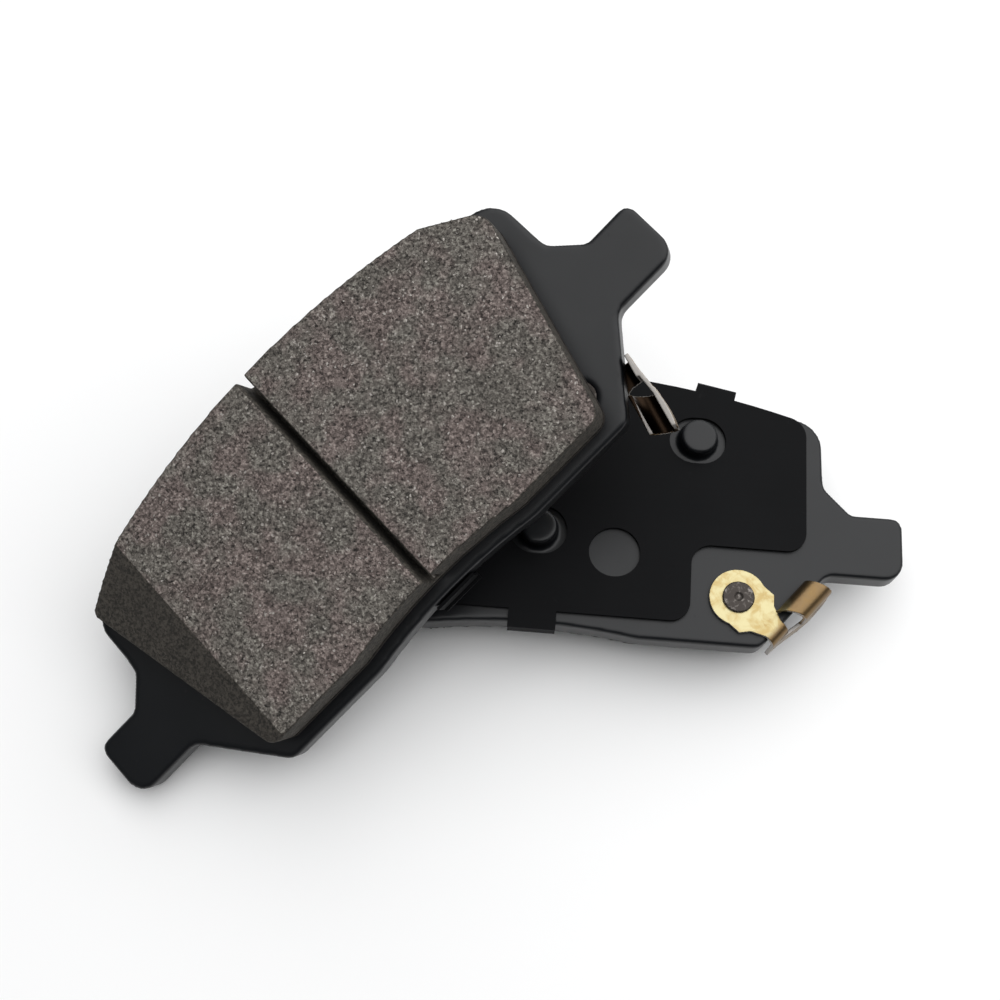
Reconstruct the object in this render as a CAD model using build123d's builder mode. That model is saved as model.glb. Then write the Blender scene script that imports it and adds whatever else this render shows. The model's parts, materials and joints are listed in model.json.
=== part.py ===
from build123d import *
from math import asin, atan2, cos, degrees, hypot, radians, sin, sqrt, tan
import os

# A handed pair of disc brake pads as they lie together out of their box, in millimetres.
# The lower pad lies on its friction face, with the origin at the centre of that face,
# +X along its length towards the wear indicator, +Y towards its outer arc and +Z up
# through its back. The upper pad leans across it with its friction face up.
# Pad outlines are drawn in X and Y of a pad's own face plane, which is the side of the
# steel plate that carries the lining.

# Steel backing plate
ear_reach = 70.0
ear_half_width = 6.35
ear_root_x = 60.1
neck_x = 54.8
neck_y = 11.6
shoulder_x = 54.5
shoulder_y = 24.2
crown_y = 33.0
heel_x = 55.4
toe_x = 42.8
toe_y = -21.6
arch_half_span = 20.0
arch_y = -20.0
plate_thickness = 5.5
shoulder_radius = 6.0
neck_radius = 3.5
ear_root_radius = 1.8
ear_outer_radius = 2.2
ear_inner_radius = 3.8
heel_radius = 3.0
toe_radius = 3.0
arch_radius = 7.0
plate_edge_round = 0.5

# Half-pierced bosses that locate the shim, pushed out of the plate's back
boss_x = 30.0
boss_y = 19.2
middle_boss_y = -1.8
boss_radius = 3.65
boss_height = 3.4
boss_edge = 0.4
pierce_depth = 3.0
pierce_clearance = 0.25

# Friction lining and the bonding layer under it
lining_height = 9.5
underlayer_thickness = 1.2
lining_crown_y = 32.4
lining_edge_inset = 0.75
lining_end_x = 46.0
lining_end_slope = 0.27
lining_inner_margin = 2.5
lining_cut_x = 41.2
lining_cut_y = 20.6
lining_cut_radius = 4.0
lining_corner_radius = 1.5
lining_inner_radius = 3.2
slot_width = 1.6
slot_web = 1.0
slot_edge_radius = 0.35
chamfer_start_x = 37.6
chamfer_angle = 23.0

# Noise shim: a steel sheet on a rubber film
rubber_thickness = 0.25
shim_thickness = 0.6
shim_end_x = 51.3
shim_edge_inset = 0.6
shim_inner_y = -17.8
shim_side_low_y = -2.4
shim_step_x = 29.5
shim_toe_x = 37.7
shim_outer_corner_radius = 4.2
shim_corner_radius = 3.8
boss_window_length = 11.1
boss_window_width = 9.7
vent_x = 14.8
vent_y = -5.2
vent_radius = 4.9
tab_x = 33.3
outer_tab_width = 7.8
inner_tab_width = 9.0
tab_drop = 4.2
outer_tab_gap = 1.05
inner_tab_gap = 0.35
tab_bend_radius = 0.5
tab_root = 1.5

# Wear indicator, one spring-steel stamping that fits both pads
strip = 0.8
eyelet_radius = 5.5
tag_width = 10.2
tag_length = 4.6
tail_root_x = 6.0
tail_root_width = 6.8
tail_neck_width = 4.4
fold_reach = 10.95
fold_radius = 1.5
apron_low = -7.5
apron_swell = 1.15
apron_bow = 0.5
curl_inner_start = 2.6
curl_outer_start = 5.2
curl_inner_end = 10.8
curl_outer_end = 12.7
curl_inner_reach = 6.9
curl_height = 3.3
lower_rivet_x = 38.5
lower_rivet_y = -12.3
upper_rivet_x = 40.3
upper_rivet_y = -12.4
upper_indicator_turn = 24.0

# Rivet that holds the indicator to the plate
rivet_head_radius = 3.1
rivet_head_height = 0.7
rivet_head_edge = 0.25
rivet_shank_radius = 1.9
rivet_tail_radius = 3.0
rivet_tail_depth = 1.4
dimple_radius = 0.9
dimple_depth = 0.35
rivet_clearance = 0.05

# How the upper pad lies across the lower one
cross_x = -29.6
cross_y = -5.7
cross_turn = 46.2
upper_lean = 21.2
upper_roll = 4.0
table_gap = 0.15
rest_gap = 0.25

shim_stack = rubber_thickness + shim_thickness
pad_thickness = lining_height + plate_thickness
pad_width = 4 * crown_y
touch = 0.01
plate_crown_radius = (shoulder_x**2 + (crown_y - shoulder_y) ** 2) / (2 * (crown_y - shoulder_y))
lining_crown_radius = plate_crown_radius - lining_edge_inset
side_angle = degrees(atan2(-ear_half_width - toe_y, heel_x - toe_x))


def outer_edge_y(x, crown, radius):
    """Height of an outer arc with its crown on the pad's centre line."""
    return crown - radius + sqrt(radius**2 - x**2)


heading = radians(cross_turn)
lean = radians(upper_lean)
roll = radians(upper_roll)
along = Vector(cos(lean) * cos(heading), cos(lean) * sin(heading), sin(lean))
level = Vector(-sin(heading), cos(heading), 0)
steep = along.cross(level)
radial = level * cos(roll) + steep * sin(roll)
friction_side = steep * cos(roll) - level * sin(roll)


def resting_height():
    """Height that puts the upper pad's ear on the table and its shim on the lower pad's back."""
    stack = plate_thickness + shim_stack + rest_gap
    ear_depth = ear_reach * along.Z + ear_half_width * radial.Z + plate_thickness * friction_side.Z
    heights = [table_gap + ear_depth]
    hidden_corners = [(toe_x, toe_y), (heel_x, -ear_half_width), (ear_reach, -ear_half_width)]
    for x, y in hidden_corners:
        slide = (-x - cross_x) * friction_side.X + (y - cross_y) * friction_side.Y
        heights.append(pad_thickness + (slide + stack) / friction_side.Z)
    return max(heights)


lower_face = Plane.XY.offset(lining_height)
upper_origin = Vector(cross_x, cross_y, resting_height())
upper_face = Plane(origin=upper_origin, x_dir=along, z_dir=friction_side)


def point_on(face, x, y, z):
    """A point given in a pad's face plane, in the pair's own frame."""
    return face.from_local_coords(Vector(x, y, z))


def edges_at(plane):
    """Edges of the part being built that lie in a plane."""
    return edges().filter_by(lambda e: abs(plane.to_local_coords(e.center()).Z) < touch)


def backing_plate(face, back, rivet_x, rivet_y):
    """Stamped steel plate. back is +1 or -1 along the face plane's normal."""
    with BuildPart() as plate:
        with BuildSketch(face):
            with BuildLine():
                RadiusArc((-shoulder_x, shoulder_y), (shoulder_x, shoulder_y), plate_crown_radius)
                for side in (1, -1):
                    Polyline(
                        (side * shoulder_x, shoulder_y),
                        (side * neck_x, neck_y),
                        (side * ear_root_x, ear_half_width),
                        (side * ear_reach, ear_half_width),
                        (side * ear_reach, -ear_half_width),
                        (side * heel_x, -ear_half_width),
                        (side * toe_x, toe_y),
                        (side * arch_half_span, toe_y),
                    )
                ThreePointArc((-arch_half_span, toe_y), (0, arch_y), (arch_half_span, toe_y))
            make_face()
            corners = [
                (shoulder_x, shoulder_y, shoulder_radius),
                (neck_x, neck_y, neck_radius),
                (ear_root_x, ear_half_width, ear_root_radius),
                (ear_reach, ear_half_width, ear_outer_radius),
                (ear_reach, -ear_half_width, ear_inner_radius),
                (heel_x, -ear_half_width, heel_radius),
                (toe_x, toe_y, toe_radius),
                (arch_half_span, toe_y, arch_radius),
            ]
            for x, y, radius in corners:
                picked = vertices().filter_by(lambda v: hypot(abs(v.X) - x, v.Y - y) < touch)
                fillet(picked, radius)
        extrude(amount=back * plate_thickness)
        outer = face.offset(back * plate_thickness)
        fillet(edges_at(outer), plate_edge_round)
        with BuildSketch(outer):
            with Locations((boss_x, boss_y), (-boss_x, boss_y), (0, middle_boss_y)):
                Circle(boss_radius)
        extrude(amount=back * boss_height)
        top = face.offset(back * (plate_thickness + boss_height))
        chamfer(edges_at(top), boss_edge)
        with BuildSketch(face):
            with Locations((boss_x, boss_y), (-boss_x, boss_y), (0, middle_boss_y)):
                Circle(boss_radius + pierce_clearance)
        extrude(amount=back * pierce_depth, mode=Mode.SUBTRACT)
        with BuildSketch(face):
            with Locations((rivet_x, rivet_y)):
                Circle(rivet_shank_radius + rivet_clearance)
        extrude(amount=back * plate_thickness, mode=Mode.SUBTRACT)
        with BuildSketch(face):
            with Locations((rivet_x, rivet_y)):
                Circle(rivet_tail_radius + rivet_clearance)
        with BuildSketch(face.offset(back * rivet_tail_depth)):
            with Locations((rivet_x, rivet_y)):
                Circle(rivet_shank_radius + rivet_clearance)
        loft(mode=Mode.SUBTRACT)
    return plate.part


def lining_outline():
    """Plan of the lining: cut corner at the indicator's end, full corner at the other."""
    cut_top_y = outer_edge_y(lining_cut_x, lining_crown_y, lining_crown_radius)
    cut_end_x = lining_end_x + lining_end_slope * lining_cut_y
    inner_y = toe_y + lining_inner_margin
    inner_end_x = lining_end_x + lining_end_slope * inner_y
    inner_arch_y = arch_y + lining_inner_margin
    full_x = lining_end_x + lining_end_slope * shoulder_y
    full_y = outer_edge_y(full_x, lining_crown_y, lining_crown_radius)
    with BuildSketch() as plan:
        with BuildLine():
            ThreePointArc((-full_x, full_y), (0, lining_crown_y), (lining_cut_x, cut_top_y))
            Polyline(
                (lining_cut_x, cut_top_y),
                (cut_end_x, lining_cut_y),
                (inner_end_x, inner_y),
                (arch_half_span, inner_y),
            )
            ThreePointArc((arch_half_span, inner_y), (0, inner_arch_y), (-arch_half_span, inner_y))
            Polyline((-arch_half_span, inner_y), (-inner_end_x, inner_y), (-full_x, full_y))
        make_face()
        fillet(vertices().sort_by(Axis.X)[-1], lining_cut_radius)
        cut_top = vertices().filter_by(lambda v: hypot(v.X - lining_cut_x, v.Y - cut_top_y) < touch)
        fillet(cut_top, lining_corner_radius)
        fillet(vertices().sort_by(Axis.X)[0], lining_corner_radius)
        inner = vertices().filter_by(lambda v: abs(abs(v.X) - inner_end_x) < touch)
        fillet(inner, lining_inner_radius)
        gentle = vertices().filter_by(lambda v: abs(abs(v.X) - arch_half_span) < touch)
        fillet(gentle, arch_radius)
    return plan.sketch


def underlayer(face, back):
    """Bonding layer, moulded into the pierced pockets behind the bosses."""
    with BuildPart() as layer:
        with BuildSketch(face):
            add(lining_plan)
        extrude(amount=-back * underlayer_thickness)
        with BuildSketch(face):
            with Locations((boss_x, boss_y), (-boss_x, boss_y), (0, middle_boss_y)):
                Circle(boss_radius + pierce_clearance)
        extrude(amount=back * pierce_depth)
    return layer.part


def friction_lining(face, back):
    """Moulded block with one radial slot and one chamfered end."""
    base = face.offset(-back * underlayer_thickness)
    block_height = lining_height - underlayer_thickness
    with BuildPart() as block:
        with BuildSketch(base):
            add(lining_plan)
        extrude(amount=-back * block_height)
        with BuildSketch(face.offset(-back * (underlayer_thickness + slot_web))):
            Rectangle(slot_width, pad_width)
        extrude(amount=-back * block_height, mode=Mode.SUBTRACT)
        side_origin = point_on(face, 0, -pad_width / 2, 0)
        side = Plane(origin=side_origin, x_dir=face.x_dir, z_dir=face.y_dir)
        up = -back if side.y_dir.dot(face.z_dir) > 0 else back
        drop = (ear_reach - chamfer_start_x) * tan(radians(chamfer_angle))
        with BuildSketch(side):
            with BuildLine():
                Polyline(
                    (-chamfer_start_x, up * lining_height),
                    (-ear_reach, up * (lining_height - drop)),
                    (-ear_reach, up * pad_thickness),
                    (-chamfer_start_x, up * pad_thickness),
                    (-chamfer_start_x, up * lining_height),
                )
            make_face()
        extrude(amount=pad_width, mode=Mode.SUBTRACT)
        top = face.offset(-back * lining_height)
        lips = edges_at(top).filter_by(
            lambda e: abs(abs(top.to_local_coords(e.center()).X) - slot_width / 2) < touch
        )
        fillet(lips, slot_edge_radius)
    return block.part


def shim_outline():
    """Plan of the shim: full at the plain end, stepped back around the indicator."""
    shim_crown_y = crown_y - shim_edge_inset
    shim_crown_radius = plate_crown_radius - shim_edge_inset
    top_y = outer_edge_y(shim_end_x, shim_crown_y, shim_crown_radius)
    with BuildSketch() as plan:
        with BuildLine():
            ThreePointArc((-shim_end_x, top_y), (0, shim_crown_y), (shim_end_x, top_y))
            Polyline(
                (shim_end_x, top_y),
                (shim_end_x, shim_side_low_y),
                (shim_step_x, shim_side_low_y),
                (shim_step_x, shim_inner_y),
                (-shim_toe_x, shim_inner_y),
                (-shim_end_x, -ear_half_width),
                (-shim_end_x, top_y),
            )
        make_face()
        fillet(vertices().group_by(Axis.Y)[-1], shim_outer_corner_radius)
        low = vertices().filter_by(lambda v: v.Y < 0)
        fillet(low, shim_corner_radius)
        with Locations((boss_x, boss_y), (-boss_x, boss_y), (0, middle_boss_y)):
            SlotOverall(boss_window_length, boss_window_width, mode=Mode.SUBTRACT)
        with Locations((vent_x, vent_y), (-vent_x, vent_y)):
            Circle(vent_radius, mode=Mode.SUBTRACT)
    return plan.sketch


def shim_rubber(face, back):
    """Rubber film between the plate and the steel shim."""
    with BuildPart() as film:
        with BuildSketch(face.offset(back * plate_thickness)):
            add(shim_plan)
        extrude(amount=back * rubber_thickness)
    return film.part


def fold_over_tab(face, back, x, y, outward, tab_width, gap):
    """Tab that leaves the shim at (x, y), runs outward and folds down the plate's edge."""
    reach = gap + shim_thickness / 2
    level = back * (plate_thickness + rubber_thickness)
    across = Vector(-outward[1], outward[0], 0)
    origin = point_on(face, x, y, level)
    out_dir = face.from_local_coords(Vector(x + outward[0], y + outward[1], level)) - origin
    side_dir = face.from_local_coords(Vector(x + across.X, y + across.Y, level)) - origin
    profile = Plane(origin=origin, x_dir=out_dir, z_dir=side_dir)
    rise = 1 if profile.y_dir.dot(face.z_dir) * back > 0 else -1
    middle = shim_thickness / 2
    bend = tab_bend_radius + middle
    with BuildPart() as tab:
        with BuildSketch(profile):
            with BuildLine():
                Line((-tab_root, rise * middle), (reach - bend, rise * middle))
                RadiusArc(
                    (reach - bend, rise * middle),
                    (reach, rise * (middle - bend)),
                    rise * bend,
                )
                Line((reach, rise * (middle - bend)), (reach, -rise * tab_drop))
            trace(line_width=shim_thickness)
        extrude(amount=tab_width / 2, both=True)
    return tab.part


def noise_shim(face, back):
    """Steel shim with two tabs over the outer edge and one over the inner edge."""
    level = back * (plate_thickness + rubber_thickness)
    tilt = asin(tab_x / plate_crown_radius)
    edge_y = outer_edge_y(tab_x, crown_y, plate_crown_radius)
    bridge_length = shim_inner_y - arch_y + 2 * tab_root
    tabs = [fold_over_tab(face, back, 0, arch_y, (0, -1), inner_tab_width, inner_tab_gap)]
    for side in (1, -1):
        outward = (side * sin(tilt), cos(tilt))
        place = (side * tab_x, edge_y, outward)
        tabs.append(fold_over_tab(face, back, *place, outer_tab_width, outer_tab_gap))
    with BuildPart() as shim:
        with BuildSketch(face.offset(level)):
            add(shim_plan)
            with Locations((0, (shim_inner_y + arch_y) / 2)):
                Rectangle(inner_tab_width, bridge_length)
        extrude(amount=back * shim_thickness)
        add(tabs)
    return shim.part


def wear_indicator(seat):
    """Indicator on its own seat plane: X along the tail, Z away from the plate's back."""
    curl_outer = fold_reach + apron_swell
    curl_radius = (curl_outer - curl_inner_reach) / 2 - strip / 2
    curl_base = curl_height - curl_radius
    outer_leg = curl_outer - strip / 2
    inner_leg = curl_inner_reach + strip / 2
    profile = Plane(origin=seat.origin, x_dir=seat.x_dir, z_dir=-seat.y_dir)
    fold_middle = fold_reach - strip / 2
    fold_bend = fold_radius + strip / 2
    fold_start = fold_middle - fold_bend
    half_neck = tail_neck_width / 2
    with BuildPart() as clip:
        with BuildSketch(seat):
            Circle(eyelet_radius)
            with BuildLine():
                Polyline(
                    (0, tag_width / 2),
                    (tag_length, tag_width / 2),
                    (tail_root_x, tail_root_width / 2),
                    (fold_start, half_neck),
                    (fold_start, -half_neck),
                    (tail_root_x, -tail_root_width / 2),
                    (tag_length, -tag_width / 2),
                    (0, -tag_width / 2),
                    (0, tag_width / 2),
                )
            make_face()
            Circle(rivet_shank_radius + rivet_clearance, mode=Mode.SUBTRACT)
        extrude(amount=strip)
        with BuildSketch(profile):
            with BuildLine():
                Line((fold_start - strip, strip / 2), (fold_start, strip / 2))
                RadiusArc((fold_start, strip / 2), (fold_middle, strip / 2 - fold_bend), fold_bend)
                Line((fold_middle, strip / 2 - fold_bend), (fold_middle, apron_low))
            trace(line_width=strip)
        extrude(amount=half_neck, both=True)
        with BuildSketch(seat.offset(apron_low)):
            with BuildLine():
                Spline(
                    (fold_middle, -half_neck),
                    (fold_middle + apron_bow, half_neck),
                    (outer_leg, curl_outer_start + strip),
                    (outer_leg, curl_outer_end),
                )
            trace(line_width=strip)
        extrude(amount=-apron_low - fold_bend)
        add(curl(seat, profile, outer_leg, inner_leg, curl_base, curl_radius))
    return clip.part


def curl(seat, profile, outer_leg, inner_leg, base, radius):
    """Arched end of the indicator, cut aslant at both ends."""
    with BuildPart() as arch:
        with BuildSketch(profile):
            with BuildLine():
                Line((outer_leg, apron_low), (outer_leg, base))
                RadiusArc((outer_leg, base), (inner_leg, base), -radius)
                Line((inner_leg, base), (inner_leg, strip / 2))
            trace(line_width=strip)
        extrude(amount=-curl_outer_end)
        with BuildSketch(seat.offset(apron_low)):
            with BuildLine():
                Polyline(
                    (inner_leg - strip, curl_inner_start),
                    (outer_leg, curl_outer_start),
                    (outer_leg + strip, curl_outer_start),
                    (outer_leg + strip, curl_outer_end),
                    (outer_leg, curl_outer_end),
                    (inner_leg - strip, curl_inner_end),
                    (inner_leg - strip, curl_inner_start),
                )
            make_face()
        extrude(amount=curl_height - apron_low + strip, mode=Mode.INTERSECT)
    return arch.part


def rivet(seat):
    """Solid rivet: domed head on the eyelet, shank through the plate, flush tail."""
    with BuildPart() as pin:
        with BuildSketch(seat.offset(strip)):
            Circle(rivet_head_radius)
        extrude(amount=rivet_head_height)
        with BuildSketch(seat.offset(strip)):
            Circle(rivet_shank_radius)
        extrude(amount=-(strip + plate_thickness))
        with BuildSketch(seat.offset(-plate_thickness)):
            Circle(rivet_tail_radius)
        with BuildSketch(seat.offset(rivet_tail_depth - plate_thickness)):
            Circle(rivet_shank_radius)
        loft()
        crown = seat.offset(strip + rivet_head_height)
        chamfer(edges_at(crown), rivet_head_edge)
        with BuildSketch(crown):
            Circle(dimple_radius)
        with BuildSketch(crown.offset(-dimple_depth)):
            Circle(dimple_radius / 2)
        loft(mode=Mode.SUBTRACT)
    return pin.part


def indicator_seat(face, back, x, y, turn):
    """Plane under the indicator's eyelet, with X towards the plate's slanted side edge."""
    tail_angle = radians(side_angle - 90 + turn)
    origin = point_on(face, x, y, back * plate_thickness)
    tail_end = point_on(face, x + cos(tail_angle), y + sin(tail_angle), back * plate_thickness)
    return Plane(origin=origin, x_dir=tail_end - origin, z_dir=face.z_dir * back)


lining_plan = lining_outline()
shim_plan = shim_outline()
lower_seat = indicator_seat(lower_face, 1, lower_rivet_x, lower_rivet_y, 0)
upper_seat = indicator_seat(upper_face, -1, upper_rivet_x, upper_rivet_y, upper_indicator_turn)

pieces = {
    "lower_backing_plate": backing_plate(lower_face, 1, lower_rivet_x, lower_rivet_y),
    "lower_underlayer": underlayer(lower_face, 1),
    "lower_friction_lining": friction_lining(lower_face, 1),
    "lower_shim_rubber": shim_rubber(lower_face, 1),
    "lower_noise_shim": noise_shim(lower_face, 1),
    "lower_wear_indicator": wear_indicator(lower_seat),
    "lower_indicator_rivet": rivet(lower_seat),
    "upper_backing_plate": backing_plate(upper_face, -1, upper_rivet_x, upper_rivet_y),
    "upper_underlayer": underlayer(upper_face, -1),
    "upper_friction_lining": friction_lining(upper_face, -1),
    "upper_shim_rubber": shim_rubber(upper_face, -1),
    "upper_noise_shim": noise_shim(upper_face, -1),
    "upper_wear_indicator": wear_indicator(upper_seat),
    "upper_indicator_rivet": rivet(upper_seat),
}

os.makedirs("parts", exist_ok=True)
for name, piece in pieces.items():
    piece.label = name
    export_step(piece, f"parts/{name}.step")
    print(name, len(piece.solids()), round(piece.volume, 1))
print("upper pad height", round(upper_origin.Z, 2))
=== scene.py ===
import json
import math

import bmesh
import bpy
import numpy as np
from mathutils import Matrix, Vector
from mathutils.bvhtree import BVHTree


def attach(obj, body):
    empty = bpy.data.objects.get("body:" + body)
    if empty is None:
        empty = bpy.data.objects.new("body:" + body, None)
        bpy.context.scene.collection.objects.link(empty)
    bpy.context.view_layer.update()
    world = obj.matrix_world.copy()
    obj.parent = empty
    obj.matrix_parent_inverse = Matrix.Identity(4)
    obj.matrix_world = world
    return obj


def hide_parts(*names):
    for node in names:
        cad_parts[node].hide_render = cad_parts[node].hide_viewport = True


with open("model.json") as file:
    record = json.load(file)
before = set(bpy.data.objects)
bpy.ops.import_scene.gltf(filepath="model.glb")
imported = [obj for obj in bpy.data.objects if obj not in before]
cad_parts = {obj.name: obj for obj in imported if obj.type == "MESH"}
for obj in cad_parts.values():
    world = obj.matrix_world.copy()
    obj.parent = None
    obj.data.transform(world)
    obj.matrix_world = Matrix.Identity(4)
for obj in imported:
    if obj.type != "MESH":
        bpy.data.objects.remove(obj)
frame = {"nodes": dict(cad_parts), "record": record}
nodes = frame["nodes"]
mounts = {mount["name"]: mount for mount in frame["record"]["mounts"]}
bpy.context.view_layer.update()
mm = 0.001
sides = ("lower", "upper")
print("frame loaded:", len(nodes), "nodes")


# Shader maths: a socket that takes Python's operators

def plug(tree, target, value):
    if isinstance(value, wire):
        tree.links.new(value.socket, target)
    else:
        target.default_value = value


class wire:
    def __init__(self, tree, socket):
        self.tree = tree
        self.socket = socket

    def maths(self, operation, *values):
        node = self.tree.nodes.new("ShaderNodeMath")
        node.operation = operation
        for target, value in zip(node.inputs, values):
            plug(self.tree, target, value)
        return wire(self.tree, node.outputs[0])

    def __add__(self, other):
        return self.maths("ADD", self, other)

    def __sub__(self, other):
        return self.maths("SUBTRACT", self, other)

    def __rsub__(self, other):
        return self.maths("SUBTRACT", other, self)

    def __mul__(self, other):
        return self.maths("MULTIPLY", self, other)

    def __gt__(self, other):
        return self.maths("GREATER_THAN", self, other)

    __radd__ = __add__

    def rising(self, low, high):  # 0 below low, 1 above high, smooth between
        node = self.tree.nodes.new("ShaderNodeMapRange")
        node.interpolation_type = "SMOOTHSTEP"
        for target, value in zip(node.inputs, (self, low, high, 0.0, 1.0)):
            plug(self.tree, target, value)
        return wire(self.tree, node.outputs[0])


class finish:
    def __init__(self, name, **fixed):
        self.material = bpy.data.materials.new(name)
        self.material.use_nodes = True
        self.tree = self.material.node_tree
        self.shader = self.tree.nodes["Principled BSDF"]
        for socket, value in fixed.items():
            self.shader.inputs[socket.replace("_", " ")].default_value = value
        self.place = self.add("ShaderNodeTexCoord", out="Object")

    def add(self, kind, settings=None, sockets=None, out=0):
        node = self.tree.nodes.new(kind)
        for name, value in (settings or {}).items():
            setattr(node, name, value)
        for name, value in (sockets or {}).items():
            plug(self.tree, node.inputs[name], value)
        return wire(self.tree, node.outputs[out])

    def noise(self, size, detail=3.0, rough=0.5, warp=0.0):  # size is one grain, in metres
        sockets = {"Vector": self.place, "Scale": 1 / size, "Detail": detail, "Roughness": rough}
        sockets["Distortion"] = warp
        return self.add("ShaderNodeTexNoise", sockets=sockets)

    def cells(self, size, out="Color"):
        sockets = {"Vector": self.place, "Scale": 1 / size}
        found = self.add("ShaderNodeTexVoronoi", sockets=sockets, out=out)
        if out == "Color":
            found = self.add("ShaderNodeSeparateColor", sockets={"Color": found})
        return found

    def mix(self, mask, low, high, blend="MIX"):
        node = self.tree.nodes.new("ShaderNodeMix")
        node.data_type = "RGBA"
        node.blend_type = blend
        plug(self.tree, node.inputs[0], mask)
        for target, colour in zip(node.inputs[6:8], (low, high)):
            plug(self.tree, target, (*colour, 1.0) if isinstance(colour, tuple) else colour)
        return wire(self.tree, node.outputs[2])

    def ramp(self, mask, stops):
        node = self.tree.nodes.new("ShaderNodeValToRGB")
        for _ in stops[2:]:
            node.color_ramp.elements.new(0.5)
        for element, (place, colour) in zip(node.color_ramp.elements, stops):
            element.position = place
            element.color = (*colour, 1.0)
        plug(self.tree, node.inputs[0], mask)
        return wire(self.tree, node.outputs[0])

    def attribute(self, name):
        return self.add("ShaderNodeAttribute", {"attribute_name": name}, out="Fac")

    def feed(self, socket, value):
        plug(self.tree, self.shader.inputs[socket], value)

    def bump(self, height, depth, strength=1.0):
        sockets = {"Height": height, "Distance": depth, "Strength": strength}
        self.feed("Normal", self.add("ShaderNodeBump", sockets=sockets, out="Normal"))


# Friction mix: ground face of pale and dark grains with bright metal flecks, plainer where only moulded

frictionLook = {
    "grain": 0.44 * mm,
    "fineGrain": 0.23 * mm,
    "cloudGrains": 1.6,
    "fleckGrains": 0.9,
    "patch": 7.0 * mm,
    "fleckShare": 0.966,
    "dark": (0.010, 0.009, 0.008),
    "mid": (0.086, 0.073, 0.067),
    "pale": (0.190, 0.166, 0.154),
    "bright": (0.42, 0.39, 0.36),
    "mouldedDark": (0.018, 0.016, 0.013),
    "mouldedPale": (0.072, 0.063, 0.052),
    "relief": 0.10 * mm,
}


def frictionFinish():
    look = frictionLook
    f = finish("frictionMix", Specular_IOR_Level=0.35)
    grain = f.cells(look["grain"])
    fine = f.cells(look["fineGrain"])
    cloud = f.noise(look["grain"] * look["cloudGrains"], 5.0, 0.65)
    patch = f.noise(look["patch"], 2.0)
    tone = grain * 0.34 + fine * 0.26 + cloud.rising(0.25, 0.75) * 0.34 + patch * 0.06
    stops = [(0.16, look["dark"]), (0.42, look["mid"]), (0.66, look["pale"]), (0.92, look["bright"])]
    groundColour = f.ramp(tone, stops)
    tint = f.mix(patch.rising(0.40, 0.62), (0.97, 1.02, 0.97), (1.06, 0.98, 0.97))
    groundColour = f.mix(1.0, groundColour, tint, "MULTIPLY")
    chosen = f.cells(look["grain"] * look["fleckGrains"]) > look["fleckShare"]
    fleck = chosen * f.noise(look["fineGrain"] * 2).rising(0.42, 0.60)
    groundColour = f.mix(fleck, groundColour, look["bright"])
    mouldedColour = f.mix(tone.rising(0.25, 0.8), look["mouldedDark"], look["mouldedPale"])
    ground = (f.attribute("groundFace") + (cloud - 0.5) * 0.5).rising(0.35, 0.65)
    f.feed("Base Color", f.mix(ground, mouldedColour, groundColour))
    f.feed("Roughness", 0.86 - fleck * ground * 0.45 - cloud * 0.10)
    f.feed("Metallic", fleck * ground * 0.55)
    f.bump(tone + grain * 0.3, look["relief"], 0.9)
    return f.material


# Satin black powder coat on the stamped plates

coatLook = {
    "black": (0.0040, 0.0047, 0.0060),
    "dusty": (0.020, 0.020, 0.021),
    "peel": 0.9 * mm,
    "peelDepth": 0.010 * mm,
    "cloud": 11 * mm,
    "speck": 1.7 * mm,
    "speckShare": 0.86,
    "scuff": 3.2 * mm,
    "roughness": 0.33,
}


def coatFinish():
    look = coatLook
    f = finish("powderCoat", Specular_IOR_Level=0.38)
    peel = f.noise(look["peel"], 2.0)
    cloud = f.noise(look["cloud"], 4.0, 0.6)
    chosen = f.cells(look["speck"]) > look["speckShare"]
    speck = f.cells(look["speck"], "Distance").rising(0.16, 0.06) * chosen
    scuff = f.noise(look["scuff"], 6.0, 0.7, 1.5).rising(0.62, 0.74) * cloud.rising(0.48, 0.66)
    f.feed("Base Color", f.mix(speck * 0.5 + scuff * 0.35, look["black"], look["dusty"]))
    f.feed("Roughness", look["roughness"] + cloud * 0.10 + scuff * 0.12 + speck * 0.2)
    f.bump(peel + scuff * 0.4 + speck * 0.6, look["peelDepth"], 0.8)
    return f.material


# Coated sheet steel of the shims: smoother and duller than the plates

shimLook = {
    "black": (0.0026, 0.0028, 0.0034),
    "rubbed": (0.009, 0.009, 0.010),
    "lineScale": (60.0, 1400.0, 1400.0),
    "cloud": 14 * mm,
    "rub": 2.2 * mm,
    "pebble": 0.5 * mm,
    "relief": 0.004 * mm,
    "roughness": 0.52,
}


def shimFinish():
    look = shimLook
    f = finish("shimCoat", Specular_IOR_Level=0.08)
    rolled = f.add("ShaderNodeMapping", sockets={"Vector": f.place, "Scale": look["lineScale"]})
    lines = f.add("ShaderNodeTexNoise", sockets={"Vector": rolled, "Scale": 1.0, "Detail": 3.0})
    cloud = f.noise(look["cloud"], 3.0)
    rub = f.noise(look["rub"], 6.0, 0.7, 1.0).rising(0.60, 0.75) * cloud.rising(0.45, 0.62)
    f.feed("Base Color", f.mix(rub * 0.6 + lines * 0.12, look["black"], look["rubbed"]))
    f.feed("Roughness", look["roughness"] + cloud * 0.12 - rub * 0.10)
    f.bump(lines * 0.5 + f.noise(look["pebble"]) * 0.5, look["relief"], 0.6)
    return f.material


# Rubber film under each shim

rubberLook = {
    "dark": (0.006, 0.006, 0.006),
    "pale": (0.022, 0.021, 0.020),
    "grain": 0.35 * mm,
    "relief": 0.02 * mm,
}


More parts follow.
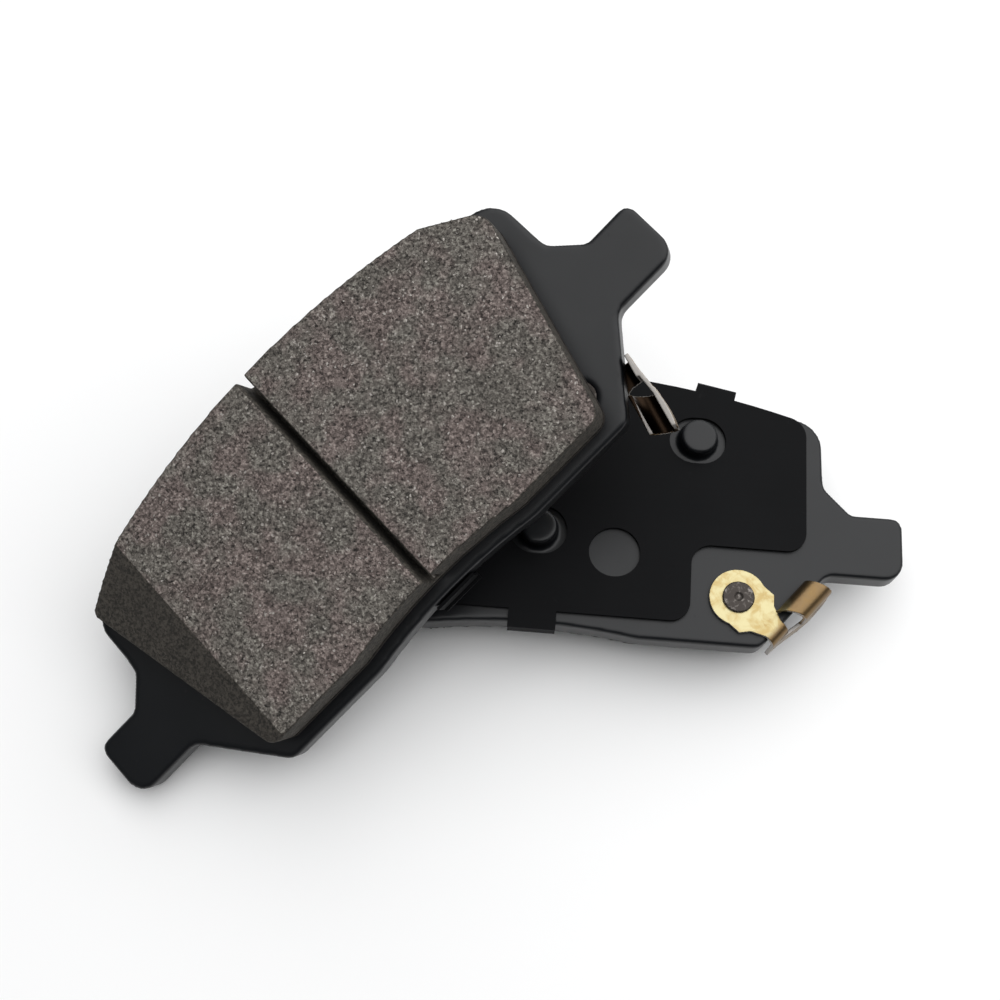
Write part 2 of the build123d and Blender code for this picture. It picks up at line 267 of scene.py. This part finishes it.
def rubberFinish():
    look = rubberLook
    f = finish("shimRubber", Specular_IOR_Level=0.25)
    grain = f.noise(look["grain"], 4.0)
    f.feed("Base Color", f.mix(grain, look["dark"], look["pale"]))
    f.feed("Roughness", 0.72 + grain * 0.2)
    f.bump(grain, look["relief"])
    return f.material


# Fibre layer that bonds each lining to its plate

bondLook = {
    "dark": (0.010, 0.009, 0.009),
    "pale": (0.045, 0.038, 0.033),
    "fibreScale": (420.0, 420.0, 2600.0),
    "grit": 0.5 * mm,
    "relief": 0.06 * mm,
}


def bondFinish():
    look = bondLook
    f = finish("bondLayer", Specular_IOR_Level=0.25)
    fibre = f.add("ShaderNodeMapping", sockets={"Vector": f.place, "Scale": look["fibreScale"]})
    sockets = {"Vector": fibre, "Scale": 1.0, "Detail": 5.0, "Roughness": 0.7}
    strand = f.add("ShaderNodeTexNoise", sockets=sockets)
    grit = f.cells(look["grit"])
    f.feed("Base Color", f.mix(strand.rising(0.35, 0.7), look["dark"], look["pale"]))
    f.feed("Roughness", 0.84 + grit * 0.1)
    f.bump(strand + grit * 0.4, look["relief"])
    return f.material


# Spring steel of the indicators: yellow passivation on the rolled faces, bare steel on the cut ones, painted
# shade on the faces turned into the curl's hollow

indicatorLook = {
    "yellow": (0.37, 0.28, 0.125),
    "straw": (0.46, 0.41, 0.235),
    "brown": (0.22, 0.13, 0.055),
    "bentBrown": (0.150, 0.088, 0.042),
    # painted shade: near-black colour for the faces inside the curl
    "hollowShadeColour": (0.022, 0.014, 0.009),
    "cutSteel": (0.36, 0.34, 0.32),
    "cloud": 2.4 * mm,
    "fine": 0.30 * mm,
    "stain": 1.1 * mm,
    "drawnTurn": (0.0, 0.0, 0.7),
    "drawnScale": (700.0, 5200.0, 1500.0),
    "relief": 0.012 * mm,
    "roughness": 0.30,
}


def indicatorFinish():
    look = indicatorLook
    f = finish("passivatedSteel")
    cloud = f.noise(look["cloud"], 4.0, 0.6, 0.6)
    fine = f.noise(look["fine"], 4.0)
    stain = f.noise(look["stain"], 5.0, 0.7).rising(0.60, 0.78)
    sockets = {"Vector": f.place, "Rotation": look["drawnTurn"], "Scale": look["drawnScale"]}
    streak = f.add("ShaderNodeMapping", sockets=sockets)
    drawn = f.add("ShaderNodeTexNoise", sockets={"Vector": streak, "Scale": 1.0, "Detail": 2.0})
    rolledColour = f.mix(cloud.rising(0.36, 0.64), look["yellow"], look["straw"])
    rolledColour = f.mix(stain * 0.55, rolledColour, look["brown"])
    rolledColour = f.mix(f.attribute("bent") * (0.62 + cloud * 0.45), rolledColour, look["bentBrown"])
    # painted shade: the faces turned into the curl's hollow are darkened almost to black
    rolledColour = f.mix(f.attribute("inside"), rolledColour, look["hollowShadeColour"])
    cut = f.attribute("cutEdge").rising(0.35, 0.65)
    f.feed("Base Color", f.mix(cut, rolledColour, look["cutSteel"]))
    f.feed("Metallic", 1.0 - cut * 0.25)
    f.feed("Roughness", look["roughness"] + fine * 0.12 + cut * 0.16)
    f.bump(drawn * 0.6 + fine * 0.4, look["relief"], 0.6)
    return f.material


# Dark phosphated rivets, worn paler in places

rivetLook = {
    "dark": (0.055, 0.047, 0.042),
    "worn": (0.22, 0.20, 0.185),
    "grain": 0.45 * mm,
    "wear": 1.3 * mm,
    "relief": 0.05 * mm,
}


def rivetFinish():
    look = rivetLook
    f = finish("phosphatedSteel", Metallic=0.75)
    grain = f.noise(look["grain"], 5.0, 0.65)
    worn = f.noise(look["wear"], 4.0, 0.6, 1.0).rising(0.52, 0.72)
    f.feed("Base Color", f.mix(worn, look["dark"], look["worn"]))
    f.feed("Roughness", 0.52 - worn * 0.16 + grain * 0.1)
    f.bump(grain, look["relief"], 0.8)
    return f.material


finishes = {
    "frictionMix": frictionFinish(),
    "powderCoat": coatFinish(),
    "shimCoat": shimFinish(),
    "shimRubber": rubberFinish(),
    "bondLayer": bondFinish(),
    "passivatedSteel": indicatorFinish(),
    "phosphatedSteel": rivetFinish(),
}
print("finishes made:", len(finishes))


# Each pad's own space in millimetres: X along the pad, Y to its outer arc

def padSpace(side):
    tip = mounts[side + "_ear_tip_indicator_end"]
    far = mounts[side + "_ear_tip_plain_end"]
    along = Vector(tip["axis"])
    outward = -Vector(mounts[side + "_ear_flank_indicator_end"]["axis"])
    through = along.cross(outward)
    middle = (Vector(tip["pos_m"]) + Vector(far["pos_m"])) / 2
    turn = Matrix((along, outward, through)).transposed().to_4x4()
    return Matrix.Translation(middle) @ turn @ Matrix.Scale(mm, 4)


def frictionWay(side):  # the lining's side in the pad's own space
    way = padSpace(side).to_3x3().inverted() @ Vector(mounts[side + "_friction_face"]["axis"])
    return way.normalized()


def readCoordinates(mesh):
    points = np.empty(len(mesh.vertices) * 3)
    mesh.vertices.foreach_get("co", points)
    return points.reshape(-1, 3)


mergeReach = 0.002 * mm


def cadCopy(node, space):  # a merged copy of a node's mesh in its pad's own space
    shell = bmesh.new()
    shell.from_mesh(nodes[node].data)
    bmesh.ops.remove_doubles(shell, verts=shell.verts, dist=mergeReach)
    bmesh.ops.transform(shell, matrix=space.inverted(), verts=shell.verts)
    mesh = bpy.data.meshes.new(node + "Copy")
    shell.to_mesh(mesh)
    shell.free()
    return mesh


def newObject(name, data):
    made = bpy.data.objects.new(name, data)
    bpy.context.scene.collection.objects.link(made)
    return made


def placePiece(name, mesh, space, body):
    mesh.transform(space)
    mesh.name = name
    piece = newObject(name, mesh)
    for polygon in mesh.polygons:
        polygon.use_smooth = True
    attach(piece, body)
    return piece


# Geometry Nodes: the relief on every evened piece and the grit in the linings

def newTree(name, inputs):
    tree = bpy.data.node_groups.new(name, "GeometryNodeTree")
    tree.interface.new_socket("Geometry", in_out="INPUT", socket_type="NodeSocketGeometry")
    tree.interface.new_socket("Geometry", in_out="OUTPUT", socket_type="NodeSocketGeometry")
    for label, kind in inputs.items():
        tree.interface.new_socket(label, in_out="INPUT", socket_type="NodeSocket" + kind)
    return tree, tree.nodes.new("NodeGroupInput"), tree.nodes.new("NodeGroupOutput")


def socketKey(name):  # i2 is the third input; any other name is an input's own name
    if name[0] == "i" and name[1:].isdigit():
        return int(name[1:])
    return name


def step(tree, kind, settings=None, **sockets):
    node = tree.nodes.new(kind)
    for name, value in (settings or {}).items():
        setattr(node, name, value)
    for name, value in sockets.items():
        target = node.inputs[socketKey(name)]
        if isinstance(value, bpy.types.NodeSocket):
            tree.links.new(value, target)
        else:
            target.default_value = value
    return node


def maths(tree, operation, first, second):
    return step(tree, "ShaderNodeMath", {"operation": operation}, i0=first, i1=second).outputs[0]


def scaled(tree, vector, factor):
    return step(tree, "ShaderNodeVectorMath", {"operation": "SCALE"}, i0=vector, Scale=factor).outputs[0]


def coated(tree, geometry, material):
    return step(tree, "GeometryNodeSetMaterial", Geometry=geometry, Material=material).outputs[0]


def setInputs(modifier, tree, values):
    for item in tree.interface.items_tree:
        if item.item_type == "SOCKET" and item.in_out == "INPUT" and item.name in values:
            modifier[item.identifier] = values[item.name]


def flatten(holder):  # the evaluated result as a plain mesh
    bpy.context.view_layer.update()
    graph = bpy.context.evaluated_depsgraph_get()
    mesh = bpy.data.meshes.new_from_object(holder.evaluated_get(graph))
    bpy.data.objects.remove(holder)
    return mesh


markLook = {  # cosines of the tilt from the lining's side, then the mark from which grit is set
    "from": 0.962,
    "full": 0.992,
    "gritFrom": 0.95,
}
chipLook = {
    "leastStretch": (0.6, 0.6, 0.22),
    "mostStretch": (1.3, 1.0, 0.34),
}


def skinTree():
    # Marks the faces that look one way, then lowers the surface with two sizes of relief
    inputs = {"Way": "Vector", "Grain": "Float", "Depth": "Float", "Ripple": "Float", "Ripple depth": "Float",
              "Seed": "Float", "Material": "Material"}
    tree, start, end = newTree("skinRelief", inputs)
    given = start.outputs
    normal = step(tree, "GeometryNodeInputNormal").outputs[0]
    facing = step(tree, "ShaderNodeVectorMath", {"operation": "DOT_PRODUCT"}, i0=normal, i1=given["Way"])
    mark = step(tree, "ShaderNodeMapRange", Value=facing.outputs["Value"], i1=markLook["from"],
                i2=markLook["full"])
    stored = step(tree, "GeometryNodeStoreNamedAttribute", {"data_type": "FLOAT", "domain": "POINT"},
                  Geometry=given["Geometry"], Name="groundFace", Value=mark.outputs[0])
    grain = step(tree, "ShaderNodeTexNoise", {"noise_dimensions": "4D"}, W=given["Seed"],
                 Scale=maths(tree, "DIVIDE", 1.0, given["Grain"]), Detail=3.0, Roughness=0.6)
    ripple = step(tree, "ShaderNodeTexNoise", {"noise_dimensions": "4D"}, W=given["Seed"],
                  Scale=maths(tree, "DIVIDE", 1.0, given["Ripple"]), Detail=1.0)
    grainDrop = maths(tree, "MULTIPLY", grain.outputs[0], given["Depth"])
    rippleDrop = maths(tree, "MULTIPLY", ripple.outputs[0], given["Ripple depth"])
    inward = maths(tree, "MULTIPLY", maths(tree, "ADD", grainDrop, rippleDrop), -1.0)
    moved = step(tree, "GeometryNodeSetPosition", Geometry=stored.outputs[0],
                 Offset=scaled(tree, normal, inward))
    tree.links.new(coated(tree, moved.outputs[0], given["Material"]), end.inputs[0])
    return tree


def gritTree():
    # Small faceted chips set into the faces marked as ground
    inputs = {"Density": "Float", "Smallest": "Float", "Largest": "Float", "Sink": "Float", "Seed": "Int",
              "Material": "Material"}
    tree, start, end = newTree("setGrit", inputs)
    given = start.outputs
    marked = step(tree, "GeometryNodeInputNamedAttribute", {"data_type": "FLOAT"}, Name="groundFace")
    chosen = step(tree, "FunctionNodeCompare", {"data_type": "FLOAT", "operation": "GREATER_THAN"},
                  i0=marked.outputs[0], i1=markLook["gritFrom"])
    points = step(tree, "GeometryNodeDistributePointsOnFaces", {"distribute_method": "RANDOM"},
                  Mesh=given["Geometry"], Selection=chosen.outputs[0], Density=given["Density"],
                  Seed=given["Seed"])
    chip = step(tree, "GeometryNodeMeshIcoSphere", Radius=1.0, Subdivisions=1)
    size = step(tree, "FunctionNodeRandomValue", {"data_type": "FLOAT"}, Seed=given["Seed"],
                i2=given["Smallest"], i3=given["Largest"])
    stretch = step(tree, "FunctionNodeRandomValue", {"data_type": "FLOAT_VECTOR"}, Seed=given["Seed"],
                   i0=chipLook["leastStretch"], i1=chipLook["mostStretch"])
    spin = step(tree, "FunctionNodeRandomValue", {"data_type": "FLOAT"}, Seed=given["Seed"],
                i2=0.0, i3=2 * math.pi)
    spinAxis = step(tree, "ShaderNodeCombineXYZ", Z=spin.outputs[1])
    spinTurn = step(tree, "FunctionNodeEulerToRotation", Euler=spinAxis.outputs[0])
    turn = step(tree, "FunctionNodeRotateRotation", {"rotation_space": "LOCAL"},
                Rotation=points.outputs["Rotation"], i1=spinTurn.outputs[0])
    placed = step(tree, "GeometryNodeInstanceOnPoints", Points=points.outputs["Points"],
                  Instance=chip.outputs["Mesh"], Rotation=turn.outputs[0],
                  Scale=scaled(tree, stretch.outputs[0], size.outputs[1]))
    lowered = step(tree, "ShaderNodeCombineXYZ", Z=given["Sink"])
    sunk = step(tree, "GeometryNodeTranslateInstances", Instances=placed.outputs[0],
                Translation=lowered.outputs[0])
    real = step(tree, "GeometryNodeRealizeInstances", Geometry=sunk.outputs[0])
    tree.links.new(coated(tree, real.outputs[0], given["Material"]), end.inputs[0])
    return tree


skin = skinTree()
grit = gritTree()
seedStep = 7
seedStart = 3


def skinned(node, side, look, finishName):
    space = padSpace(side)
    holder = newObject(node + "Holder", cadCopy(node, space))
    remesh = holder.modifiers.new("even", "REMESH")
    remesh.mode = "VOXEL"
    remesh.voxel_size = look["voxel"]
    remesh.use_smooth_shade = True
    soften = holder.modifiers.new("soften", "SMOOTH")
    soften.factor = 0.5
    soften.iterations = look["soften"]
    relief = holder.modifiers.new("relief", "NODES")
    relief.node_group = skin
    values = {key: look[key] for key in ("Grain", "Depth", "Ripple", "Ripple depth")}
    values["Way"] = frictionWay(side)
    values["Seed"] = float(sides.index(side) * seedStep + seedStart)
    values["Material"] = finishes[finishName]
    setInputs(relief, skin, values)
    return flatten(holder), space


# Linings, with grit set in their ground faces

liningLook = {"voxel": 0.37, "soften": 4, "Grain": 1.1, "Depth": 0.09, "Ripple": 9.0, "Ripple depth": 0.05}
gritLook = {"Density": 0.42, "Smallest": 0.16, "Largest": 0.42, "Sink": 0.02, "Seed": 11}

for side in sides:
    node = side + "_friction_lining"
    mesh, space = skinned(node, side, liningLook, "frictionMix")
    holder = newObject("gritHolder", mesh.copy())
    setter = holder.modifiers.new("grit", "NODES")
    setter.node_group = grit
    setInputs(setter, grit, dict(gritLook, Material=finishes["frictionMix"]))
    chips = flatten(holder)
    marked = chips.attributes.get("groundFace") or chips.attributes.new("groundFace", "FLOAT", "POINT")
    marked.data.foreach_set("value", np.ones(len(chips.vertices), np.float32))
    lining = placePiece(side + "Lining", mesh, space, side + "_pad")
    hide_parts(node)
    placePiece(side + "LiningGrit", chips, space, side + "_pad")
    print(side, "lining:", len(mesh.polygons), "faces, grit:", len(chips.polygons))


# Plates, with the softened edges of a stamped and coated blank

plateLook = {"voxel": 0.46, "soften": 3, "Grain": 2.5, "Depth": 0.012, "Ripple": 14.0, "Ripple depth": 0.05}

for side in sides:
    node = side + "_backing_plate"
    mesh, space = skinned(node, side, plateLook, "powderCoat")
    plate = placePiece(side + "Plate", mesh, space, side + "_pad")
    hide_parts(node)
    print(side, "plate:", len(mesh.polygons), "faces")


# Indicators: rolled faces and cut edges told apart by the thickness under them

indicatorSkin = {
    "voxel": 0.13,
    "soften": 2,
    "Grain": 0.8,
    "Depth": 0.012,
    "Ripple": 5.0,
    "Ripple depth": 0.03,
}
rivetSkin = {"voxel": 0.11, "soften": 2, "Grain": 0.7, "Depth": 0.10, "Ripple": 3.0, "Ripple depth": 0.08}
edgeLook = {  # in millimetres, but cutSheets counts thicknesses of the sheet
    "rayStart": 0.02,
    "rayReach": 6.0,
    "sheetThickness": 0.8,
    "cutSheets": 2.4,
}
bendLook = {  # in millimetres, but hollowShift is a share of the way to the rivet
    "eyeletReach": 8.6,
    "fade": 1.0,
    "hollowShift": 0.17,
}


def storeMask(mesh, name, values):
    mask = mesh.attributes.new(name, "FLOAT", "POINT")
    mask.data.foreach_set("value", np.array(values, np.float32))


def markCutEdges(mesh, source):  # cut where the metal under a triangle is deeper than the sheet
    source.calc_loop_triangles()
    points = readCoordinates(source)
    triangles = [tuple(triangle.vertices) for triangle in source.loop_triangles]
    tree = BVHTree.FromPolygons([Vector(point) for point in points], triangles)
    cut = []
    for triangle in source.loop_triangles:
        centre = Vector(points[list(triangle.vertices)].mean(0))
        inward = -Vector(triangle.normal)
        depth = tree.ray_cast(centre + inward * edgeLook["rayStart"], inward, edgeLook["rayReach"])[3]
        cut.append(depth is None or depth > edgeLook["sheetThickness"] * edgeLook["cutSheets"])
    storeMask(mesh, "cutEdge", [cut[tree.find_nearest(vertex.co)[2]] for vertex in mesh.vertices])


def markSides(mesh, rivetMiddle):
    # bent: the fold and curl, outside a circle round the rivet; the faces turned to the hollow they wrap are
    # marked for painted shade
    points = readCoordinates(mesh)
    reach = np.hypot(*(points[:, :2] - rivetMiddle[:2]).T)
    bent = np.clip((reach - bendLook["eyeletReach"]) / bendLook["fade"], 0.0, 1.0)
    hollow = points[bent > 0.5].mean(0)
    hollow[:2] += (rivetMiddle - hollow)[:2] * bendLook["hollowShift"]
    normals = np.empty(len(points) * 3)
    mesh.vertices.foreach_get("normal", normals)
    facing = ((hollow - points) * normals.reshape(-1, 3)).sum(1)
    storeMask(mesh, "bent", bent)
    storeMask(mesh, "inside", facing > 0)


for side in sides:
    node = side + "_wear_indicator"
    source = cadCopy(node, padSpace(side))
    mesh, space = skinned(node, side, indicatorSkin, "passivatedSteel")
    markCutEdges(mesh, source)
    markSides(mesh, readCoordinates(cadCopy(side + "_indicator_rivet", space)).mean(0))
    indicator = placePiece(side + "Indicator", mesh, space, side + "_pad")
    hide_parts(node)
    node = side + "_indicator_rivet"
    mesh, space = skinned(node, side, rivetSkin, "phosphatedSteel")
    rivet = placePiece(side + "Rivet", mesh, space, side + "_pad")
    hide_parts(node)
    print(side, "indicator:", len(indicator.data.polygons), "faces, rivet:", len(mesh.polygons))


# Nodes that keep their own mesh

keptFinishes = {"underlayer": "bondLayer", "shim_rubber": "shimRubber", "noise_shim": "shimCoat"}

for side in sides:
    for part, finishName in keptFinishes.items():
        node = nodes[f"{side}_{part}"]
        node.data.materials.clear()
        node.data.materials.append(finishes[finishName])


# Floor, lights and camera

stageLook = {
    "floorColour": (0.92, 0.92, 0.92),
    "floorPatch": 0.15,
    "floorHalf": 3.0,
    "panelPlace": (0.85, 1.15, 1.10),
    "panelBelow": (0.85, 1.15, 0.0),
    "panelSize": 3.2,
    "panelPower": 67.0,
    "sky": 0.08,
    "backdrop": 0.80,
    "skyColour": (0.93, 0.97, 1.0, 1.0),
}


def floorSheet():
    half = stageLook["floorHalf"]
    mesh = bpy.data.meshes.new("floorSheet")
    corners = [(-half, -half, 0), (half, -half, 0), (half, half, 0), (-half, half, 0)]
    mesh.from_pydata(corners, [], [(0, 1, 2, 3)])
    floor = newObject("floorSheet", mesh)
    f = finish("paleFloor", Specular_IOR_Level=0.2)
    tone = f.noise(stageLook["floorPatch"], 3.0)
    pale = stageLook["floorColour"]
    f.feed("Base Color", f.mix(tone, pale, tuple(channel * 1.02 for channel in pale)))
    f.feed("Roughness", 0.85 + tone * 0.1)
    mesh.materials.append(f.material)


def overheadPanel():
    light = bpy.data.lights.new("overheadPanel", "AREA")
    light.shape = "SQUARE"
    light.size = stageLook["panelSize"]
    light.energy = stageLook["panelPower"]
    lamp = newObject("overheadPanel", light)
    downward = Vector(stageLook["panelBelow"]) - Vector(stageLook["panelPlace"])
    lamp.location = stageLook["panelPlace"]
    lamp.rotation_euler = downward.to_track_quat("-Z", "Y").to_euler()


def dimSky():  # lights little, but is pale where it is seen directly
    world = bpy.data.worlds.new("studio")
    world.use_nodes = True
    tree = world.node_tree
    background = tree.nodes["Background"]
    background.inputs["Color"].default_value = stageLook["skyColour"]
    seen = wire(tree, tree.nodes.new("ShaderNodeLightPath").outputs["Is Camera Ray"])
    plug(tree, background.inputs["Strength"], seen * stageLook["backdrop"] + stageLook["sky"])
    return world


floorSheet()
overheadPanel()
scene = bpy.context.scene
scene.world = dimSky()
scene.view_settings.view_transform = "Standard"

cameraLook = {
    "target": (-8.32 * mm, 9.43 * mm, 0.0),
    "azimuth": 4.64,
    "elevation": 69.57,
    "distance": 268.6 * mm,
    "lens": 46.8,
    "sensor": 36.0,
    "nearest": 0.01,
    "farthest": 20.0,
}


def lookFrom(look):
    azimuth = math.radians(look["azimuth"])
    elevation = math.radians(look["elevation"])
    level = math.cos(elevation)
    back = Vector((math.sin(azimuth) * level, -math.cos(azimuth) * level, math.sin(elevation)))
    data = bpy.data.cameras.new("camera")
    data.lens = look["lens"]
    data.sensor_width = look["sensor"]
    data.clip_start = look["nearest"]
    data.clip_end = look["farthest"]
    camera = newObject("camera", data)
    camera.location = Vector(look["target"]) + back * look["distance"]
    camera.rotation_mode = "QUATERNION"
    camera.rotation_quaternion = (-back).to_track_quat("-Z", "Y")
    bpy.context.scene.camera = camera


lookFrom(cameraLook)
print("stage set")
